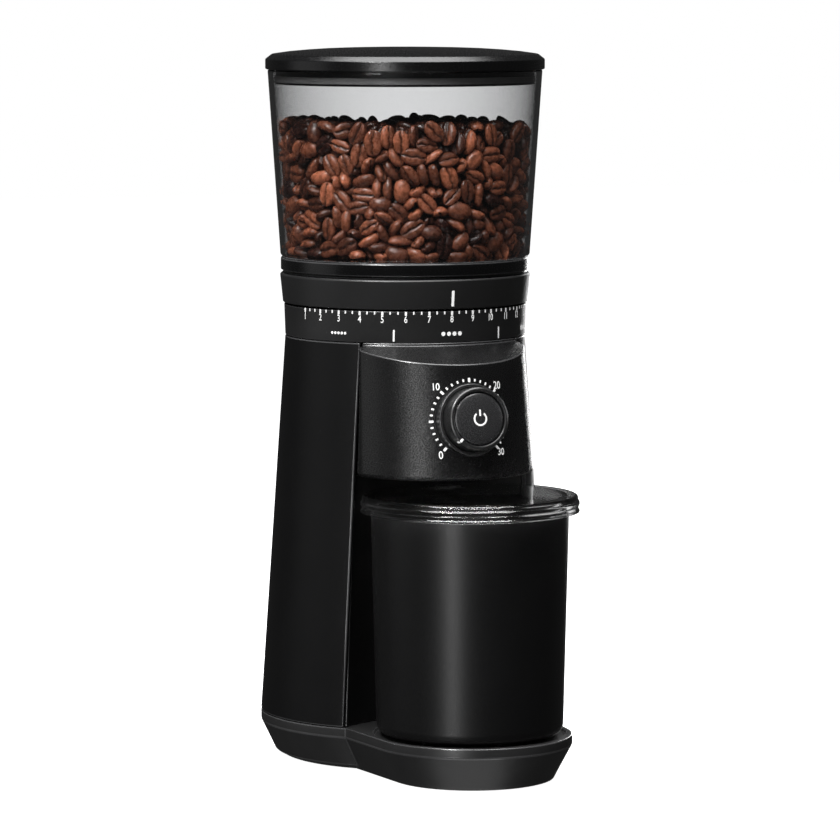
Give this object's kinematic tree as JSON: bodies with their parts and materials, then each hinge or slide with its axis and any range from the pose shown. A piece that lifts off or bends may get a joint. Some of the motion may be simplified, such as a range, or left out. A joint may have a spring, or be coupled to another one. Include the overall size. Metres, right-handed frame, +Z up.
{
  "type": "burr coffee grinder",
  "caption": "Upright electric burr coffee grinder: clear bean hopper with lid, turning grind collar, timer dial with start button, and a pull-out grounds container on a front tray.",
  "frame": {"origin": "middle of the footprint, on the surface it stands on", "axes": "+Z up, -Y the front with the dial and the grounds container, +X to the right seen from the front"},
  "size_m": [0.1694, 0.2436, 0.413],
  "materials": {
    "satin_black": "satin moulded",
    "base_black": "satin moulded",
    "panel_black": "fine spark texture",
    "gloss_black": "semi-gloss",
    "smoke_clear": "polished, lightly smoked",
    "cap_clear": "polished",
    "seal": "soft",
    "gate_plastic": "moulded",
    "gear_plastic": "natural nylon",
    "burr_steel": "ground",
    "painted_steel": "satin",
    "zinc_steel": "zinc plated",
    "bronze": "machined",
    "copper": "wound",
    "magnet": "ferrite",
    "board": "lacquered",
    "switch_black": "moulded",
    "foot_rubber": "matt"
  },
  "bodies": {
    "housing": {"base_housing": "base_black", "base_plate": "base_black", "board_screws": "zinc_steel", "button_spring": "zinc_steel", "chamber_screws": "zinc_steel", "column_wall": "satin_black", "control_board": "board", "cord_gland": "seal", "deck_screws": "zinc_steel", "dial_bezel": "satin_black", "foot_1": "foot_rubber", "foot_2": "foot_rubber", "foot_3": "foot_rubber", "foot_4": "foot_rubber", "foot_5": "foot_rubber", "frame_post_1": "zinc_steel", "frame_post_2": "zinc_steel", "frame_post_3": "zinc_steel", "frame_post_4": "zinc_steel", "front_panel": "panel_black", "gear_case": "gear_plastic", "gear_case_cover": "gear_plastic", "grinding_chamber": "satin_black", "grounds_chute": "satin_black", "head_plate": "satin_black", "lower_bearing": "bronze", "motor_can": "zinc_steel", "motor_end_cap": "zinc_steel", "motor_magnets": "magnet", "motor_mount": "zinc_steel", "motor_screws": "zinc_steel", "power_board": "board", "rear_cover": "satin_black", "scale_ring": "satin_black", "timer_switch": "switch_black", "top_deck": "satin_black", "upper_bearing": "bronze"},
    "lid": {"hopper_lid": "gloss_black", "lid_seal": "seal"},
    "hopper_unit": {"hopper": "smoke_clear", "hopper_base": "satin_black"},
    "gate": {"hopper_gate": "gate_plastic", "gate_handle": "gate_plastic"},
    "collar": {"grind_collar": "satin_black"},
    "carrier": {"burr_carrier": "satin_black", "ring_burr": "burr_steel"},
    "spindle": {"burr_shaft": "burr_steel", "cone_burr": "burr_steel", "impeller": "gear_plastic", "drive_gear": "gear_plastic"},
    "rotor": {"motor_rotor": "copper", "motor_pinion": "bronze"},
    "container": {"grounds_container": "painted_steel", "container_lid": "cap_clear"},
    "dial": {"timer_dial": "satin_black"},
    "button": {"start_button": "gloss_black"}
  },
  "joints": [
    {"name": "grind_adjust", "type": "hinge", "parent": "housing", "child": "collar", "pos_m": [0, 0.03715, 0.27], "axis": [0, 0, 1], "range_deg": [-77, 77]},
    {"name": "burr_thread", "type": "slide", "parent": "collar", "child": "carrier", "axis": [0, 0, 1], "range_m": [-0.00045, 0.00045]},
    {"name": "hopper_lift", "type": "slide", "parent": "collar", "child": "hopper_unit", "axis": [0, 0, 1], "range_m": [0, 0.15]},
    {"name": "gate_turn", "type": "hinge", "parent": "hopper_unit", "child": "gate", "pos_m": [0, 0.03715, 0.271], "axis": [0, 0, 1], "range_deg": [0, 90]},
    {"name": "lid_lift", "type": "slide", "parent": "hopper_unit", "child": "lid", "axis": [0, 0, 1], "range_m": [0, 0.1]},
    {"name": "spindle_spin", "type": "hinge", "parent": "housing", "child": "spindle", "pos_m": [0, 0.03715, 0.21], "axis": [0, 0, 1], "continuous": true},
    {"name": "rotor_spin", "type": "hinge", "parent": "housing", "child": "rotor", "pos_m": [0, 0.07215, 0.15], "axis": [0, 0, 1], "continuous": true},
    {"name": "container_slide", "type": "slide", "parent": "housing", "child": "container", "axis": [0, -1, 0], "range_m": [0, 0.17]},
    {"name": "dial_turn", "type": "hinge", "parent": "housing", "child": "dial", "pos_m": [0, -0.06155, 0.2047], "axis": [0, 0.9903, -0.1392], "range_deg": [0, 270]},
    {"name": "button_press", "type": "slide", "parent": "housing", "child": "button", "axis": [0, 0.9903, -0.1392], "range_m": [0, 0.0018], "stiffness_N_per_m": 600, "springref_m": -0.001}
  ],
  "couplings": [
    {"joint": "burr_thread", "follows": "grind_adjust", "m_per_rad": 0.00031831},
    {"joint": "rotor_spin", "follows": "spindle_spin", "ratio": -4}
  ]
}
